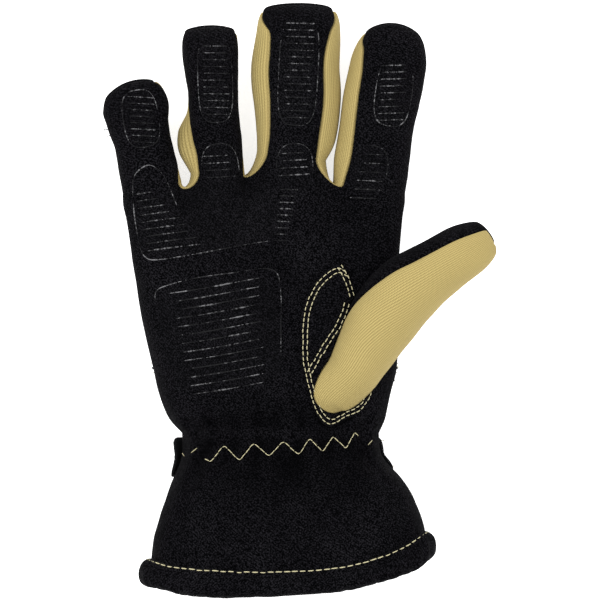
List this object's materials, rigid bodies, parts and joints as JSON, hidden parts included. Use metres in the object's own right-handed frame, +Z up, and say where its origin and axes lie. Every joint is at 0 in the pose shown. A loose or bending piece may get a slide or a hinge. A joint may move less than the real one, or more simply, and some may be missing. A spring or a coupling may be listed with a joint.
{
  "type": "firefighter work glove",
  "caption": "Right-hand knitted work glove with a gathered wrist, flared cuff, side-stripped fingers and a wing thumb, lying palm up.",
  "frame": {"origin": "on the flat back of the hand, where the glove rests on the surface under it", "axes": "+Z up through the palm, +Y along the fingers, +X towards the thumb"},
  "size_m": [0.2043, 0.3087, 0.0664],
  "materials": {
    "black_knit": "matte black knitted aramid with a short nap",
    "tan_knit": "straw-coloured knitted para-aramid",
    "webbing": "black woven webbing",
    "grip": "glossy black silicone",
    "thread": "cream sewing thread"
  },
  "bodies": {
    "root": {"palm_panel": "black_knit", "back_panel": "black_knit", "back_cuff": "black_knit", "fourchette_little_ring": "tan_knit", "fourchette_ring_middle": "tan_knit", "fourchette_middle_index": "tan_knit", "thumb_back": "tan_knit", "thumb_front": "black_knit", "thumb_patch": "black_knit", "cuff_hem": "black_knit", "wrist_strap": "webbing"}
  },
  "joints": []
}
